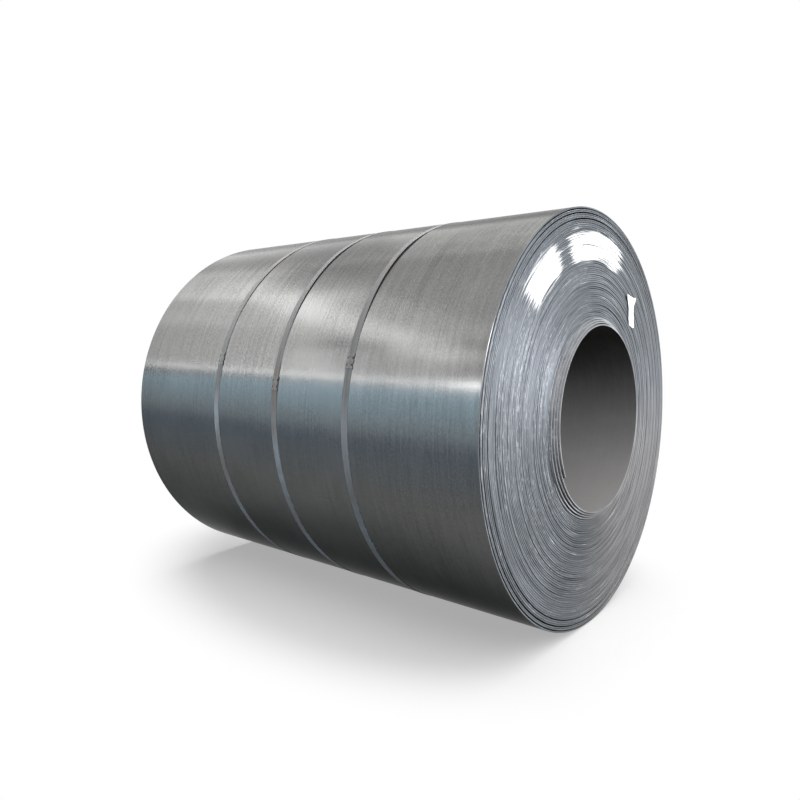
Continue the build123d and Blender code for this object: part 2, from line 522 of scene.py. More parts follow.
@dataclass(frozen=True)
class StrapSteel:
    """Cold-rolled strapping and the plain pressed seals on it, with painted shade, painted light and painted
    reflections in their colour.
    """

    sizes: CoilSizes
    name: str
    dark: str = "#414040"
    middle: str = "#565554"
    light: str = "#706e6b"
    tone_stops: tuple[float, float, float] = (0.28, 0.5, 0.72)
    scratch: Streak = Streak(Across.WIDTH, 4.0, 220.0, 4.0)
    scratch_strength: float = 0.2
    scratch_depth_mm: float = 0.2
    patch: Streak = Streak(Across.WIDTH, 260.0, 260.0)
    # Painted shade darkens the strap over the coil's top and painted light makes it paler below, by height in
    # radii above the axis.
    painted_top_shade: str = "#262625"
    painted_top_shade_ramp: Ramp = (0.42, 0.75, 0.0, 0.72)
    painted_low_light: str = "#78797b"
    painted_low_light_ramp: Ramp = (0.14, 0.02, 0.0, 0.7)
    # Brown and pale blue patches are painted reflections; the blue shows only low down.
    painted_brown_reflection: str = "#5c524b"
    brown_reflection_ramp: Ramp = (0.52, 0.64, 0.0, 0.55)
    blue: str = "#868c91"
    blue_reflection_ramp: Ramp = (0.48, 0.36, 0.0, 1.0)
    # Colour of the painted shade in the seals' insides and undersides.
    painted_shade: str = "#151617"
    roughness: tuple[float, float] = (0.42, 0.58)
    metallic: float = 0.05
    specular: float = 0.1

    def material(self) -> bpy.types.Material:
        """Build the material."""
        # To the eye: duller than the coil, with scratches along its length, darker on top with painted
        # shade, paler below with painted light, and painted reflections in pale blue and brown patches.
        finish = Surface(self.name, self.sizes)
        scratch = finish.streaks(self.scratch, self.sizes.rim_radius)
        patches = finish.streaks(self.patch, self.sizes.rim_radius)
        rise = finish.turn["Z"]
        stops = tuple(zip(self.tone_stops, (self.dark, self.middle, self.light)))
        tone = finish.add("ShaderNodeValToRGB", (scratch,), stops=stops)
        # Painted shade on top, painted light below.
        top_shaded = finish.add("ShaderNodeMapRange", (rise, *self.painted_top_shade_ramp))
        low_lit = finish.add("ShaderNodeMapRange", (rise, *self.painted_low_light_ramp))
        # Painted reflections in brown and blue patches.
        reflected_brown = finish.add("ShaderNodeMapRange", (patches, *self.brown_reflection_ramp))
        reflected_blue = finish.add("ShaderNodeMapRange", (patches, *self.blue_reflection_ramp))
        low_blue_reflection = finish.add("ShaderNodeMath", (reflected_blue, low_lit), operation="MULTIPLY")
        # Painted shade darkens the seals' insides and undersides, by the gap layer.
        gap = finish.add("ShaderNodeAttribute", output="Fac", attribute_name="gap")
        shares = (top_shaded, low_lit, reflected_brown, low_blue_reflection, gap)
        for share, colour in zip(shares, (self.painted_top_shade, self.painted_low_light, self.painted_brown_reflection, self.blue, self.painted_shade)):
            layer = {0: share, 6: tone, 7: linear(colour)}
            tone = finish.add("ShaderNodeMix", layer, 2, data_type="RGBA")
        rough = finish.add("ShaderNodeMapRange", (scratch, *NOISE_SPAN, *self.roughness))
        depth = self.scratch_depth_mm * MM
        relief = {"Height": scratch, "Strength": self.scratch_strength, "Distance": depth}
        bump = finish.add("ShaderNodeBump", relief)
        return finish.show(
            Base_Color=tone, Roughness=rough, Metallic=self.metallic, Normal=bump,
            Specular_IOR_Level=self.specular,
        )


@dataclass(frozen=True)
class TagPaper:
    """Uncoated white paper, torn by hand."""

    sizes: CoilSizes
    name: str = "uncoated_paper"
    white: str = "#f7f7f5"
    shade: str = "#e6e6e2"
    tone_stops: tuple[float, float] = (0.3, 0.7)
    fibre: Streak = Streak(Across.WALL, 6.0, 6.0, 4.0)
    fibre_strength: float = 0.3
    fibre_depth_mm: float = 0.2
    roughness: float = 0.85

    def material(self) -> bpy.types.Material:
        """Build the material."""
        # To the eye: matt, almost pure white, with a faint fibre grain.
        finish = Surface(self.name, self.sizes)
        fibre = finish.streaks(self.fibre, self.sizes.bore_radius)
        stops = tuple(zip(self.tone_stops, (self.shade, self.white)))
        tone = finish.add("ShaderNodeValToRGB", (fibre,), stops=stops)
        relief = {"Height": fibre, "Strength": self.fibre_strength, "Distance": self.fibre_depth_mm * MM}
        bump = finish.add("ShaderNodeBump", relief)
        return finish.show(Base_Color=tone, Roughness=self.roughness, Normal=bump)


def finish_piece(
    bm: bmesh.types.BMesh,
    name: str,
    finishes: tuple[bpy.types.Material, ...],
    node: str,
    crease_angle: float = 32.0,
) -> bpy.types.Object:
    """Turn a bmesh into a piece of the object that rides on its body.

    Args:
        bm: Finished shape in the row frame, which is freed.
        name: Name of the piece.
        finishes: Its materials, in the order of the faces' material numbers.
        node: CAD node that the piece stands for.
        crease_angle: Edges that turn by more than this many degrees stay sharp.

    Returns:
        The new object.
    """
    mesh = bpy.data.meshes.new(name)
    bm.to_mesh(mesh)
    bm.free()
    for finish in finishes:
        mesh.materials.append(finish)
    mesh.shade_smooth()
    mesh.set_sharp_from_angle(angle=math.radians(crease_angle))
    piece = bpy.data.objects.new(name, mesh)
    bpy.context.scene.collection.objects.link(piece)
    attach(piece, BODY)
    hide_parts(node)
    return piece


def spin_section(
    bm: bmesh.types.BMesh, sizes: CoilSizes, geometry: list, angle: float, steps: int
) -> list[bmesh.types.BMVert]:
    """Spin a section about the coil's axis.

    Args:
        bm: Mesh that holds the section.
        sizes: The coil's sizes.
        geometry: Vertices and edges of the section.
        angle: Turn in degrees, where 360 closes on itself.
        steps: Number of steps in that turn.

    Returns:
        The vertices of the last copy of the section.
    """
    made = bmesh.ops.spin(
        bm,
        geom=geometry,
        cent=(0, 0, sizes.axis_height),
        axis=(1, 0, 0),
        dvec=(0, 0, 0),
        angle=math.radians(angle),
        steps=steps,
        use_merge=abs(angle) >= FULL_TURN,
        use_duplicate=False,
    )
    return [item for item in made["geom_last"] if isinstance(item, bmesh.types.BMVert)]


def strip_section(
    bm: bmesh.types.BMesh,
    sizes: CoilSizes,
    reach: tuple[float, float],
    wall: tuple[float, float],
    angle: float,
    corner: float,
) -> tuple[list[bmesh.types.BMVert], list[bmesh.types.BMEdge]]:
    """Draw the cross-section of a strip with its four corners cut.

    Args:
        bm: Mesh that takes the section.
        sizes: The coil's sizes.
        reach: X of the strip's two edges.
        wall: Radius of its inner and outer face.
        angle: Angle of the section about the coil's axis.
        corner: How much of each corner is cut.

    Returns:
        The section's vertices and edges, in order round it.
    """
    (low, high), (inner, outer) = reach, wall
    outline = [
        (high - corner, inner), (high, inner + corner), (high, outer - corner), (high - corner, outer),
        (low + corner, outer), (low, outer - corner), (low, inner + corner), (low + corner, inner),
    ]
    verts = [bm.verts.new(sizes.point(x, radius, angle)) for x, radius in outline]
    edges = [bm.edges.new((verts[place - 1], verts[place])) for place in range(len(verts))]
    return verts, edges


@dataclass
class WoundTurns:
    """The firm wraps on one end, each a rolled edge a little out of line, with gaps between darkened by
    painted shade.
    """

    sizes: CoilSizes
    end: End
    depth_mm: float = 60.0
    gap_mm: float = 0.7
    gape_mm: float = 2.2
    rim_gape_mm: float = 4.6
    corner_mm: float = 1.1
    stagger_mm: float = 1.3
    wave_mm: float = 1.0
    firm_lift_mm: float = 11.0
    # Wraps, counted from the rim, that stand clear of the next one.
    rim_gaps: tuple[int, ...] = (2, 4, 7)
    # Pace from wrap to wrap and place of the noises that set each wrap a little out of line.
    drift_pace: float = 0.23
    drift_place: Place = (0.0, 3.7, 0.0)
    jitter_place: Place = (0.5, 8.5, 0.5)
    # Pace from wrap to wrap and lobes round the coil of the gaps and of the edges' sway.
    gap_pace: float = 1.9
    gap_lobes: float = 1.3
    sway_pace: float = 1.7
    sway_lobes: float = 1.5
    # How much of a gap is open: a level, and how strongly noise adds to it.
    gape_open: tuple[float, float] = (-0.1, 1.5)
    rim_gape_open: tuple[float, float] = (0.9, 0.4)
    # Painted shade in the gap: darkness of a wrap's rolled edge, of its corners and of its sides.
    painted_gap_shades: tuple[float, ...] = (0.0, 0.35, 1.0)
    steps: int = 180

    def lift(self, wrap: int) -> float:
        """How far a wrap's edge stands out of the rim's plane towards the near end.

        Args:
            wrap: Number of the wrap from the eye.

        Returns:
            The lift.
        """
        outward = 1 - wrap / self.sizes.wrap_count
        stagger = self.stagger_mm
        along = Vector((wrap, 0.0, 0.0))
        drift = noise.noise(self.drift_pace * along + Vector(self.drift_place)) * 2 * stagger
        jitter = noise.cell(along + Vector(self.jitter_place)) * stagger
        return (self.firm_lift_mm * outward + max(drift + jitter, -stagger) + stagger) * MM

    def gap(self, wrap: int, angle: float) -> float:
        """Width of the gap outside a wrap, which opens and closes on its way round.

        Args:
            wrap: Number of the wrap from the eye.
            angle: Angle about the coil's axis.

        Returns:
            The width.
        """
        slack = ring_noise(wrap * self.gap_pace, angle, self.gap_lobes)
        if self.sizes.wrap_count - wrap in self.rim_gaps:
            level, gain = self.rim_gape_open
            return (self.gap_mm + self.rim_gape_mm * (level + gain * slack)) * MM
        level, gain = self.gape_open
        return (self.gap_mm + self.gape_mm * smooth_share(level + gain * slack)) * MM

    def section(self, bm: bmesh.types.BMesh, wrap: int) -> list:
        """Draw the section of one wrap, marked with its number and with the painted shade of its gap.

        Args:
            bm: Mesh that takes the section.
            wrap: Number of the wrap from the eye.

        Returns:
            The section's vertices and edges.
        """
        sizes = self.sizes
        corner = self.corner_mm * MM
        shade, number = bm.verts.layers.float["gap"], bm.verts.layers.int["wrap"]
        edge = (sizes.near_rim if self.end is End.NEAR else sizes.far_rim) + self.lift(wrap)
        back = edge - self.end.value * self.depth_mm * MM
        inner = sizes.bore_radius + wrap * sizes.pitch
        reach = (min(edge, back), max(edge, back))
        wall = (inner, inner + sizes.pitch)
        verts, edges = strip_section(bm, sizes, reach, wall, TOP_ANGLE, corner)
        for vert in verts:
            corners_in = round(abs(vert.co.x - edge) / corner)
            vert[shade] = self.painted_gap_shades[min(corners_in, len(self.painted_gap_shades) - 1)]
            vert[number] = wrap
        return verts + edges

    def wander(self, vert: bmesh.types.BMVert, wrap: int) -> None:
        """Move a point of a wrap aside for the gaps beside it and the sway of its edge.

        Args:
            vert: Point to move.
            wrap: Number of its wrap from the eye.
        """
        sizes = self.sizes
        radius, angle = sizes.polar(vert.co)
        if radius > sizes.bore_radius + (wrap + 1 / 2) * sizes.pitch:
            radius -= self.gap(wrap, angle) / 2
        else:
            radius += self.gap(wrap - 1, angle) / 2
        sway = ring_noise(wrap * self.sway_pace, angle, self.sway_lobes)
        vert.co = sizes.point(vert.co.x + sway * self.wave_mm * MM, radius, angle)

    def build(self, finish: bpy.types.Material) -> bpy.types.Object:
        """Spin all the wraps of this end together, then let each one wander on its way round.

        Args:
            finish: Material of the wraps' edges.

        Returns:
            The finished piece.
        """
        bm = bmesh.new()
        # The gap layer holds how much painted shade each point takes.
        bm.verts.layers.float.new("gap")
        number = bm.verts.layers.int.new("wrap")
        geometry: list = []
        for wrap in range(self.sizes.lap_count, self.sizes.wrap_count - 1):
            geometry += self.section(bm, wrap)
        spin_section(bm, self.sizes, geometry, FULL_TURN, self.steps)
        for vert in bm.verts:
            self.wander(vert, vert[number])
        bmesh.ops.recalc_face_normals(bm, faces=bm.faces)
        return finish_piece(bm, f"turns_{self.end.name.lower()}", (finish,), "coil")


@dataclass
class OuterWrap:
    """The outermost wrap, a tube as long as the strip is wide, with rolled edges."""

    sizes: CoilSizes
    corner_mm: float = 1.2
    steps: int = 256

    def build(self, skin: bpy.types.Material, edge: bpy.types.Material) -> bpy.types.Object:
        """Spin the wrap.

        Args:
            skin: Material of the strip's faces.
            edge: Material of its edges.

        Returns:
            The finished piece.
        """
        sizes = self.sizes
        wall = (sizes.rim_radius - sizes.strip, sizes.rim_radius)
        bm = bmesh.new()
        reach = (sizes.far_rim, sizes.near_rim)
        verts, edges = strip_section(bm, sizes, reach, wall, TOP_ANGLE, self.corner_mm * MM)
        spin_section(bm, sizes, verts + edges, FULL_TURN, self.steps)
        bmesh.ops.recalc_face_normals(bm, faces=bm.faces)
        bm.normal_update()
        for face in bm.faces:
            face.material_index = int(abs(face.normal.x) > FACING_SHARE)
        return finish_piece(bm, "outer_wrap", (skin, edge), "coil")


@dataclass
class LooseLaps:
    """The innermost laps, one strip from its loose inner end out to the firm wraps."""

    sizes: CoilSizes
    tail_angle: float = 210.0
    ease_arc: float = 72.0
    tail_gap_mm: float = 3.2
    tail_gap_arc: float = 60.0
    slack_mm: float = 2.6
    # Each lap that stands off the one inside it, and the angles between which it does.
    slack_laps: tuple[tuple[int, float, float], ...] = (
        (1, 62.0, 104.0), (2, 184.0, 258.0), (3, 176.0, 268.0),
    )
    corner_mm: float = 1.0
    steps_a_lap: int = 144

    def seat(self, turned: float) -> tuple[float, float]:
        """Where the strip lies after a turn from its inner end.

        Args:
            turned: Degrees wound so far.

        Returns:
            Radius of the strip's inner face, and the lift of its near edge above the rim.
        """
        sizes = self.sizes
        lap, within = divmod(turned, FULL_TURN)
        eased = smooth_share((within - FULL_TURN + self.ease_arc) / self.ease_arc)
        gap = eased
        if lap >= 1:
            gap = max(gap, 1 - smooth_share(within / self.tail_gap_arc))
        radius = sizes.bore_radius + (lap + eased) * sizes.pitch + gap * self.tail_gap_mm * MM
        angle = (self.tail_angle - turned) % FULL_TURN
        for first_lap, start, stop in self.slack_laps:
            if lap >= first_lap and start < angle < stop:
                radius += self.slack_mm * MM * math.sin(math.pi * (angle - start) / (stop - start))
        return radius, sizes.end_lift - (lap + eased) * sizes.lap_step

    def build(self, skin: bpy.types.Material, edge: bpy.types.Material) -> bpy.types.Object:
        """Wind the strip step by step.

        Args:
            skin: Material of the strip's faces.
            edge: Material of its edges.

        Returns:
            The finished piece.
        """
        sizes = self.sizes
        radius, lift = self.seat(0.0)
        near = sizes.near_rim + lift
        bm = bmesh.new()
        reach = (near - sizes.strip_width, near)
        wall = (radius, radius + sizes.strip)
        verts, edges = strip_section(bm, sizes, reach, wall, self.tail_angle, self.corner_mm * MM)
        corners = len(verts)
        bm.faces.new(verts)
        step_angle = FULL_TURN / self.steps_a_lap
        for step in range(1, sizes.lap_count * self.steps_a_lap + 1):
            verts = spin_section(bm, sizes, verts + edges, -step_angle, 1)
            turned = step * step_angle
            next_radius, next_lift = self.seat(turned)
            outward = sizes.point(0.0, 1.0, self.tail_angle - turned) - sizes.point(0.0, 0.0, 0.0)
            shift = outward * (next_radius - radius) + Vector((next_lift - lift, 0, 0))
            bmesh.ops.translate(bm, verts=verts, vec=shift)
            radius, lift = next_radius, next_lift
            linked = dict.fromkeys(item for vert in verts for item in vert.link_edges)
            edges = [item for item in linked if all(vert in verts for vert in item.verts)]
        bmesh.ops.holes_fill(bm, edges=edges, sides=corners)
        bmesh.ops.recalc_face_normals(bm, faces=bm.faces)
        bm.normal_update()
        for face in bm.faces:
            middle = face.calc_center_median()
            outward = Vector((0.0, middle.y, middle.z - sizes.axis_height)).normalized()
            facing = max(abs(face.normal.x), face.normal.dot(outward))
            face.material_index = int(facing > FACING_SHARE)
        return finish_piece(bm, "loose_laps", (skin, edge), "coil")


@dataclass
class Strap:
    """One steel strap with its overlapped end, lifted off the coil a little where it bows."""

    sizes: CoilSizes
    name: str
    seal_angle: float
    bow_mm: float
    wander_mm: float
    tail_above_mm: float = 62.0
    tail_below_mm: float = 42.0
    seal_length_mm: float = 57.0
    layer_mm: float = 1.0
    sheet_mm: float = 0.95
    corner_mm: float = 0.25
    clearance_mm: float = 0.02
    # The strap starts to bow, is bowed, starts to fall and lies flat again at these angles.
    bow_angles: tuple[float, float, float, float] = (112.0, 128.0, 138.0, 161.0)
    # Share of the bow at the strap's middle, and how much it gains from side to side.
    bow_shares: tuple[float, float] = (0.55, 0.9)
    # Pace along the coil and lobes round it of the noise that draws a strap aside.
    wander_pace: float = 9.0
    wander_lobes: float = 1.3
    steps: int = 240
    fewest_steps: int = 8

    def __post_init__(self) -> None:
        """Read the strap's place and width from its node."""
        low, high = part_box(f"strap_{self.name}")
        self.x = (low[0] + high[0]) / 2
        self.width = high[0] - low[0]

    def place(self, radius: float, angle: float, across: float = 0.0) -> tuple[float, float]:
        """Where a point of the strap lies once its near side is bowed and it is drawn aside.

        Args:
            radius: Radius where it lies flat.
            angle: Angle about the coil's axis.
            across: Place across the strap, from -0.5 at its far side to 0.5 at its near side.

        Returns:
            The radius with the bow added, and the shift along X.
        """
        start, risen, falling, stop = self.bow_angles
        bowed = smooth_share((angle - start) / (risen - start))
        bowed *= smooth_share((stop - angle) / (stop - falling))
        middle_share, gain_share = self.bow_shares
        radius += self.bow_mm * MM * bowed * (middle_share + gain_share * across)
        drift = ring_noise(self.x * self.wander_pace, angle, self.wander_lobes)
        return radius, drift * self.wander_mm * MM

    def layer(self, bm: bmesh.types.BMesh, inner: float, first: float, arc: float) -> None:
        """Spin one layer of strap.

        Args:
            bm: Mesh that takes the layer.
            inner: Radius of its underside.
            first: Angle where it starts.
            arc: Degrees that it runs, where 360 closes on itself.
        """
        reach = (self.x - self.width / 2, self.x + self.width / 2)
        wall = (inner, inner + self.sheet_mm * MM)
        verts, edges = strip_section(bm, self.sizes, reach, wall, first, self.corner_mm * MM)
        closed = arc >= FULL_TURN
        if not closed:
            bm.faces.new(verts)
        steps = max(self.fewest_steps, round(self.steps * arc / FULL_TURN))
        last = spin_section(bm, self.sizes, verts + edges, arc, steps)
        if not closed:
            bm.faces.new(last)

    def build(self, finish: bpy.types.Material) -> bpy.types.Object:
        """Spin the strap and its overlap, then bow them off the coil.

        Args:
            finish: Material of the strap.

        Returns:
            The finished piece.
        """
        bm = bmesh.new()
        base = self.sizes.rim_radius + self.clearance_mm * MM
        self.layer(bm, base, 0.0, FULL_TURN)
        degree = math.degrees(MM / self.sizes.rim_radius)
        above = (self.seal_length_mm / 2 + self.tail_above_mm) * degree
        below = (self.seal_length_mm / 2 + self.tail_below_mm) * degree
        self.layer(bm, base + self.layer_mm * MM, self.seal_angle - above, above + below)
        for vert in bm.verts:
            radius, angle = self.sizes.polar(vert.co)
            radius, shift = self.place(radius, angle, (vert.co.x - self.x) / self.width)
            vert.co = self.sizes.point(vert.co.x + shift, radius, angle)
        bmesh.ops.recalc_face_normals(bm, faces=bm.faces)
        node = f"strap_{self.name}"
        return finish_piece(bm, f"{node}_band", (finish,), node)


@dataclass
class Seal:
    """A pressed sleeve over a strap's overlap, notched by the crimping tool."""

    strap: Strap
    base_mm: float = 2.3
    height_mm: float = 3.2
    wall_mm: float = 1.4
    notch_mm: float = 12.0
    notch_depth_mm: float = 8.0
    notch_pitch_mm: float = 27.0
    notch_floor_share: float = 0.5
    # A dark block of painted shade inside, which shows through the notches, as a share of the sleeve's
    # length.
    shade_block_share: float = 0.94
    edge_mm: float = 0.4
    edge_segments: int = 2
    crease_angle: float = 40.0

    def outline(self) -> list[Vector]:
        """Corners of the sleeve seen from above, with its length along Y.

        Returns:
            The corners in order round the sleeve.
        """
        half_width = self.strap.width / 2 + self.wall_mm * MM
        half_length = self.strap.seal_length_mm * MM / 2
        depth, half_notch = self.notch_depth_mm * MM, self.notch_mm * MM / 2
        half_floor = half_notch * self.notch_floor_share
        side = [Vector((half_width, -half_length, 0))]
        for centre in (-self.notch_pitch_mm * MM / 2, self.notch_pitch_mm * MM / 2):
            side += [
                Vector((half_width, centre - half_notch, 0)),
                Vector((half_width - depth, centre - half_floor, 0)),
                Vector((half_width - depth, centre + half_floor, 0)),
                Vector((half_width, centre + half_notch, 0)),
            ]
        side.append(Vector((half_width, half_length, 0)))
        return side + [Vector((-point.x, -point.y, 0)) for point in side]

    def build(self, finish: bpy.types.Material) -> bpy.types.Object:
        """Raise the sleeve over a dark block of painted shade, round its edges and seat it on the strap.

        Args:
            finish: Material of the seal.

        Returns:
            The finished piece.
        """
        strap = self.strap
        bm = bmesh.new()
        shade = bm.verts.layers.float.new("gap")
        base = bm.faces.new([bm.verts.new(point) for point in self.outline()])
        raised = bmesh.ops.extrude_face_region(bm, geom=[base])["geom"]
        top = [item for item in raised if isinstance(item, bmesh.types.BMVert)]
        bmesh.ops.translate(bm, verts=top, vec=(0, 0, self.height_mm * MM))
        # Painted shade on the sleeve's underside.
        for vert in base.verts:
            vert[shade] = 1.0
        rim = [edge for edge in bm.edges if all(vert in top for vert in edge.verts)]
        bmesh.ops.bevel(
            bm, geom=rim, offset=self.edge_mm * MM, offset_type="OFFSET", segments=self.edge_segments,
            profile=0.5, affect="EDGES", material=-1,
        )
        # A dark block of painted shade, which shows through the notches.
        inside = bmesh.ops.create_cube(bm, size=1.0)["verts"]
        length = self.shade_block_share * strap.seal_length_mm * MM
        bmesh.ops.scale(bm, verts=inside, vec=(strap.width, length, self.base_mm * MM))
        bmesh.ops.translate(bm, verts=inside, vec=(0, 0, self.base_mm * MM / 2))
        for vert in inside:
            vert[shade] = 1.0
        radius, shift = strap.place(strap.sizes.rim_radius, strap.seal_angle)
        seat = Matrix.Translation(strap.sizes.point(strap.x + shift, radius, strap.seal_angle))
        turn = Matrix.Rotation(math.radians(strap.seal_angle - TOP_ANGLE), 4, "X")
        bmesh.ops.transform(bm, matrix=seat @ turn, verts=bm.verts)
        bmesh.ops.recalc_face_normals(bm, faces=bm.faces)
        node = f"seal_{strap.name}"
        return finish_piece(bm, f"{node}_sleeve", (finish,), node, self.crease_angle)


@dataclass
class PaperTag:
    """A torn sheet of paper on the near end, wide at its top, with its sides curled off the coil."""

    sizes: CoilSizes
    stand_off_mm: float = 3.0
    curl_mm: float = 7.0
    ragged_mm: float = 5.0
    # Places up the sheet and across it run from -1 to 1.
    waist_share: float = 0.56
    flare_from: float = 0.3
    flare_rise: float = 0.6
    height_share: float = 0.92
    slope_share: float = 0.1
    # Noises for the torn outline and for waves: their pace across and up the sheet, and a seed.
    torn_pace: Place = (2.1, 2.9, 4.2)
    wave_pace: Place = (1.0, 1.4, 9.1)
    wave_mm: float = 2.0
    # Share of the curl on the left side, and at the top with where it starts there.
    left_curl_share: float = 0.45
    top_curl_share: float = 0.5
    top_curl_from: float = 0.5
    thickness_mm: float = 0.5
    columns: int = 16
    rows: int = 24
    crease_angle: float = 60.0

    def build(self, finish: bpy.types.Material) -> bpy.types.Object:
        """Lay a sheet on the end, tear its edges and curl it.

        Args:
            finish: Material of the paper.

        Returns:
            The finished piece.
        """
        low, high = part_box("paper_tag")
        centre = Vector((low[0] + self.stand_off_mm * MM, (low[1] + high[1]) / 2, (low[2] + high[2]) / 2))
        half_width, half_height = (high[1] - low[1]) / 2, (high[2] - low[2]) / 2
        bm = bmesh.new()
        bmesh.ops.create_grid(bm, x_segments=self.columns, y_segments=self.rows, size=1.0)
        for vert in bm.verts:
            across, up = vert.co.x, vert.co.y
            place = Vector((across, up, 1.0))
            flare = smooth_share((up - self.flare_from) / self.flare_rise)
            spread = self.waist_share + (1 - self.waist_share) * flare
            torn = noise.noise(place * Vector(self.torn_pace)) * self.ragged_mm * MM
            curl = across * across * (self.left_curl_share if across < 0 else 1.0)
            top = smooth_share((up - self.top_curl_from) / (1 - self.top_curl_from))
            curl += self.top_curl_share * top
            wave = noise.noise(place * Vector(self.wave_pace)) * self.wave_mm * MM
            vert.co = centre + Vector(
                (
                    self.curl_mm * MM * curl + wave,
                    (across * spread - self.slope_share * up) * half_width + torn,
                    (up * self.height_share - self.slope_share * across) * half_height + torn,
                )
            )
        bmesh.ops.recalc_face_normals(bm, faces=bm.faces)
        bmesh.ops.solidify(bm, geom=bm.faces, thickness=self.thickness_mm * MM)
        return finish_piece(bm, "paper_tag_sheet", (finish,), "paper_tag", self.crease_angle)


@dataclass(frozen=True)
class Panel:
    """A soft box that shines on the coil."""

    name: str
    start: Place
    stop: Place
    aim: Place
    height: float
    brightness: float
    tint: str = "#ffffff"
    spread: float = 180.0

    def build(self) -> bpy.types.Object:
        """Hang the panel from its start to its stop and face it to its aim.

        Returns:
            The lamp.
        """
        start, stop, aim = Vector(self.start), Vector(self.stop), Vector(self.aim)
        middle = (start + stop) / 2
        lamp = bpy.data.lights.new(self.name, "AREA")
        lamp.shape = "RECTANGLE"
        lamp.size = (stop - start).length
        lamp.size_y = self.height
        lamp.color = linear(self.tint)[:3]
        lamp.spread = math.radians(self.spread)
        lamp.energy = math.pi * lamp.size * lamp.size_y * self.brightness
        side = (stop - start).normalized()
        back = middle - aim
        back = (back - side * back.dot(side)).normalized()
        panel = bpy.data.objects.new(self.name, lamp)
        turn = Matrix((side, back.cross(side), back)).transposed()
        panel.matrix_world = Matrix.Translation(middle) @ turn.to_4x4()
        panel.visible_camera = False
        bpy.context.scene.collection.objects.link(panel)
        return panel


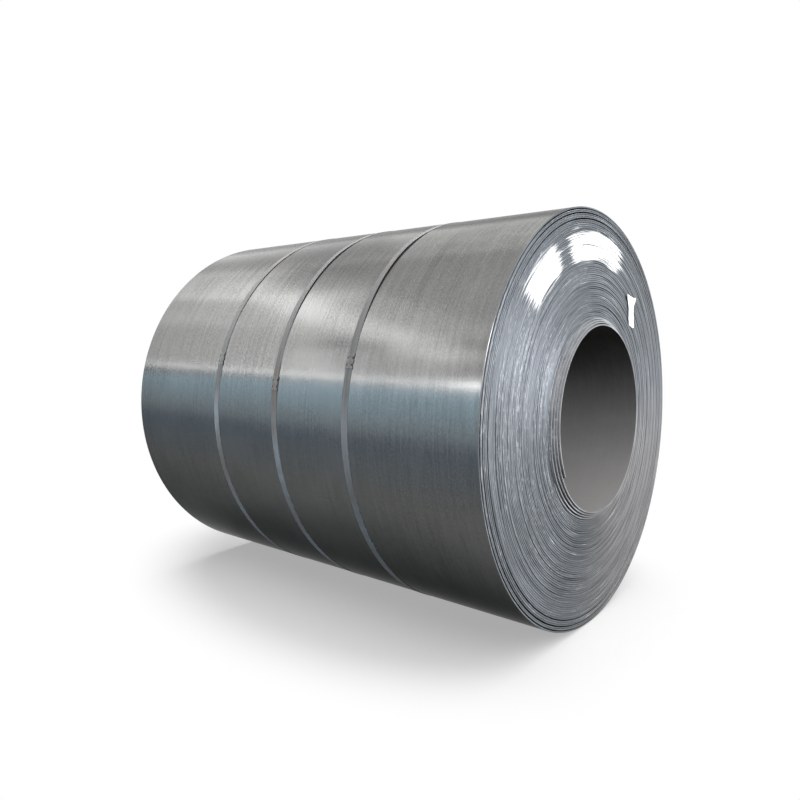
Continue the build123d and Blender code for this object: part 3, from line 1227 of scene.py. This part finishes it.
@dataclass(frozen=True)
class Studio:
    """White floor and surround, soft lamps, and the camera at the photograph's angle."""

    floor_size: float = 120.0
    floor_pale: str = "#ffffff"
    floor_grey: str = "#b4b4b4"
    # The floor turns plain white between these shares of the shadow's reach along X and Y.
    shadow_reach: tuple[float, float] = (1.5, 1.0)
    floor_fade: tuple[float, float] = (0.8, 1.2)
    # Share of plain white mixed into the floor where the shadow falls, which keeps it soft.
    shadow_lift: float = 0.38
    ambient: float = 0.05
    sky_irradiance: float = 3.5
    sky_angle: float = 100.0
    sky_aim: Place = (-0.55, -0.18, -1.0)
    # The camera, fitted to the outlines of the coil's two ends and of its eye.
    eye: Place = (2.1314, -2.5575, 1.1927)
    target: Place = (0.1673, 0.0, 1.0618)
    lens_mm: float = 29.49
    shift: tuple[float, float] = (-0.045, -0.0444)
    # Each panel's name, two ends, aim, height and brightness, then its tint and spread.
    panels: tuple[Panel, ...] = (
        Panel("top_panel", (-9.0, 2.4, 5.8), (0.5, 2.4, 5.8), (0.0, 0.0, 1.5), 3.5, 4.2),
        Panel("top_right", (-4.4, 2.9, 5.8), (-0.6, 2.9, 5.8), (0.4, 0.0, 1.5), 2.2, 3.0),
        Panel("front_panel", (-7.8, -2.48, 3.79), (-3.4, -2.78, 3.79), (-0.3, -0.6, 1.2), 3.9, 3.9),
        Panel("side_panel", (-4.6, -1.6, 4.6), (-0.4, -1.6, 4.6), (0.5, -0.6, 1.3), 4.6, 1.8),
        Panel("front_fill", (-3.7, -3.75, 2.8), (-1.3, -3.75, 2.8), (0.3, -0.7, 1.1), 1.1, 3.0),
        Panel("front_strip", (-8.4, -4.01, 2.47), (-1.3, -4.15, 2.13), (-0.1, -0.7, 1.1), 0.15, 16.0),
        Panel("front_glint", (-1.55, -4.15, 2.2), (-1.2, -4.15, 2.18), (0.9, -0.8, 1.0), 0.1, 65.0),
        Panel("slant_strip", (-4.9, -0.4, 4.95), (-1.4, -3.8, 3.0), (0.0, -0.6, 1.3), 0.6, 3.6),
        Panel("slant_halo", (-4.6, -0.1, 5.1), (-1.4, -3.3, 3.4), (0.0, -0.6, 1.3), 1.2, 1.3),
        Panel("left_patch", (-8.2, 0.2, 4.95), (-4.7, -0.55, 4.95), (-0.3, -0.6, 1.4), 2.0, 7.6),
        Panel("left_halo", (-8.2, -0.25, 4.95), (-4.9, -0.95, 4.95), (-0.3, -0.6, 1.4), 4.4, 1.9),
        Panel("low_panel", (-8.5, -4.3, 1.8), (0.5, -4.3, 1.8), (-0.1, -0.8, 0.9), 0.5, 3.4, "#aedcf5"),
        Panel("lower_panel", (-8.5, -4.3, 1.28), (0.5, -4.3, 1.28), (-0.1, -0.8, 0.9), 0.55, 2.5, "#aedcf5"),
        Panel("lowest_panel", (-8.5, -4.3, 0.77), (0.5, -4.3, 0.77), (-0.1, -0.8, 0.9), 0.47, 1.8, "#aedcf5"),
        Panel("floor_panel", (-8.5, -4.3, 0.28), (0.5, -4.3, 0.28), (-0.1, -0.8, 0.9), 0.5, 1.0, "#aedcf5"),
        Panel("end_key", (4.7, -2.9, 3.0), (5.6, -0.4, 3.0), (0.9, 0.05, 0.65), 1.8, 4.0, "#f8faff", 60.0),
    )

    def seen(self, tree: bpy.types.NodeTree) -> bpy.types.NodeSocket:
        """Add the nodes that tell rays that show the surround from rays that light the coil.

        Args:
            tree: Node tree of the floor or the world.

        Returns:
            1 for camera, glossy and transmission rays, and otherwise 0.
        """
        path = add_node(tree, "ShaderNodeLightPath").node.outputs
        rays = (path["Is Camera Ray"], path["Is Glossy Ray"])
        shown = add_node(tree, "ShaderNodeMath", rays, operation="MAXIMUM")
        rays = (shown, path["Is Transmission Ray"])
        return add_node(tree, "ShaderNodeMath", rays, operation="MAXIMUM")

    def floor(self) -> bpy.types.Object:
        """Lay the floor and hand it back."""
        bm = bmesh.new()
        bmesh.ops.create_grid(bm, x_segments=1, y_segments=1, size=self.floor_size / 2)
        mesh = bpy.data.meshes.new("studio_floor")
        bm.to_mesh(mesh)
        bm.free()
        material = bpy.data.materials.new("matt_white_floor")
        material.use_nodes = True
        tree = material.node_tree
        tree.nodes.remove(tree.nodes["Principled BSDF"])
        seen = self.seen(tree)
        colours = {0: seen, 6: linear(self.floor_grey), 7: linear(self.floor_pale)}
        tone = add_node(tree, "ShaderNodeMix", colours, 2, data_type="RGBA")
        matt = add_node(tree, "ShaderNodeBsdfDiffuse", {"Color": tone})
        white = add_node(tree, "ShaderNodeEmission", {"Strength": seen})
        place = add_node(tree, "ShaderNodeTexCoord", output="Object")
        reach = (*self.shadow_reach, 1.0)
        place = add_node(tree, "ShaderNodeVectorMath", (place, reach), operation="DIVIDE")
        far = add_node(tree, "ShaderNodeVectorMath", (place,), "Value", operation="LENGTH")
        limits = (far, *self.floor_fade, self.shadow_lift, 1.0)
        fade = add_node(tree, "ShaderNodeMapRange", limits, interpolation_type="SMOOTHSTEP")
        mixed = add_node(tree, "ShaderNodeMixShader", (fade, matt, white))
        tree.links.new(mixed, tree.nodes["Material Output"].inputs["Surface"])
        mesh.materials.append(material)
        floor = bpy.data.objects.new("studio_floor", mesh)
        bpy.context.scene.collection.objects.link(floor)
        return floor

    def surround(self) -> None:
        """Make the surround white to the eye and a plain soft light to the coil."""
        world = bpy.data.worlds.new("white_surround")
        world.use_nodes = True
        tree = world.node_tree
        limits = (self.seen(tree), 0.0, 1.0, self.ambient, 1.0)
        strength = add_node(tree, "ShaderNodeMapRange", limits)
        background = tree.nodes["Background"].inputs
        tree.links.new(strength, background["Strength"])
        background["Color"].default_value = (1, 1, 1, 1)
        bpy.context.scene.world = world

    def lamps(self, floor: bpy.types.Object) -> None:
        """Hang a wide sky light and the panels.

        The panels shine on all but the floor, so that one soft shadow falls there.

        Args:
            floor: The floor.
        """
        sky = bpy.data.lights.new("overhead_sky", "SUN")
        sky.energy = self.sky_irradiance
        sky.angle = math.radians(self.sky_angle)
        lamp = bpy.data.objects.new("overhead_sky", sky)
        lamp.rotation_euler = Vector(self.sky_aim).to_track_quat("-Z", "Y").to_euler()
        bpy.context.scene.collection.objects.link(lamp)
        # A list that only leaves the floor out keeps every other object lit.
        lit = bpy.data.collections.new("lit_by_panels")
        lit.objects.link(floor)
        lit.collection_objects[0].light_linking.link_state = "EXCLUDE"
        for panel in self.panels:
            panel.build().light_linking.receiver_collection = lit

    def camera(self) -> None:
        """Place the camera."""
        data = bpy.data.cameras.new("camera")
        data.lens = self.lens_mm
        data.shift_x, data.shift_y = self.shift
        camera = bpy.data.objects.new("camera", data)
        camera.location = self.eye
        sight = Vector(self.target) - Vector(self.eye)
        camera.rotation_euler = sight.to_track_quat("-Z", "Y").to_euler()
        bpy.context.scene.collection.objects.link(camera)
        bpy.context.scene.camera = camera

    def build(self) -> None:
        """Set up the whole studio."""
        floor = self.floor()
        self.surround()
        self.lamps(floor)
        self.camera()
        bpy.context.scene.view_settings.view_transform = "Standard"


def main() -> None:
    """Build the coil piece by piece, then the studio."""
    logging.basicConfig(level=logging.INFO, format="%(message)s")
    sizes = CoilSizes.from_frame()
    skin = MillScale(sizes).material()
    bore_skin = MillScale(
        sizes, "mill_scale_bore", dark="#4c4b4a", middle="#565554", light="#605f5d", scuff="#484746",
        bloom="#636261", blue_reflection_tint="#ffffff", low_pale_share=0.45, roughness=(0.4, 0.55), metallic=0.15,
    ).material()
    near_edge = WrapEdges(sizes, painted=True).material()
    far_edge = WrapEdges(sizes, painted=False).material()
    # A lighter copy of the edge material paints light onto the loose laps' edges and outward faces.
    lap_edge = WrapEdges(
        sizes, painted=False, name="mill_edge_painted_light", dark="#6b6d6f", middle="#8a8c8e", light="#a6a8a9",
    ).material()
    strap_steel = StrapSteel(sizes, "strapping_steel_painted_light").material()
    seal_steel = StrapSteel(
        sizes, "pressed_seal_steel", dark="#3a3937", middle="#555350", light="#7c7976", specular=0.2,
    ).material()
    pieces = [
        OuterWrap(sizes).build(skin, far_edge),
        WoundTurns(sizes, End.NEAR).build(near_edge),
        WoundTurns(sizes, End.FAR).build(far_edge),
        LooseLaps(sizes).build(bore_skin, lap_edge),
        PaperTag(sizes).build(TagPaper(sizes).material()),
    ]
    for strap in (
        Strap(sizes, "far", seal_angle=163.9, bow_mm=1.5, wander_mm=6.0),
        Strap(sizes, "middle", seal_angle=170.3, bow_mm=3.5, wander_mm=8.0),
        Strap(sizes, "near", seal_angle=163.6, bow_mm=5.0, wander_mm=6.0),
    ):
        pieces += [strap.build(strap_steel), Seal(strap).build(seal_steel)]
    for piece in pieces:
        log.info("%s: %d faces", piece.name, len(piece.data.polygons))
    Studio().build()


if __name__ == "__main__":
    main()
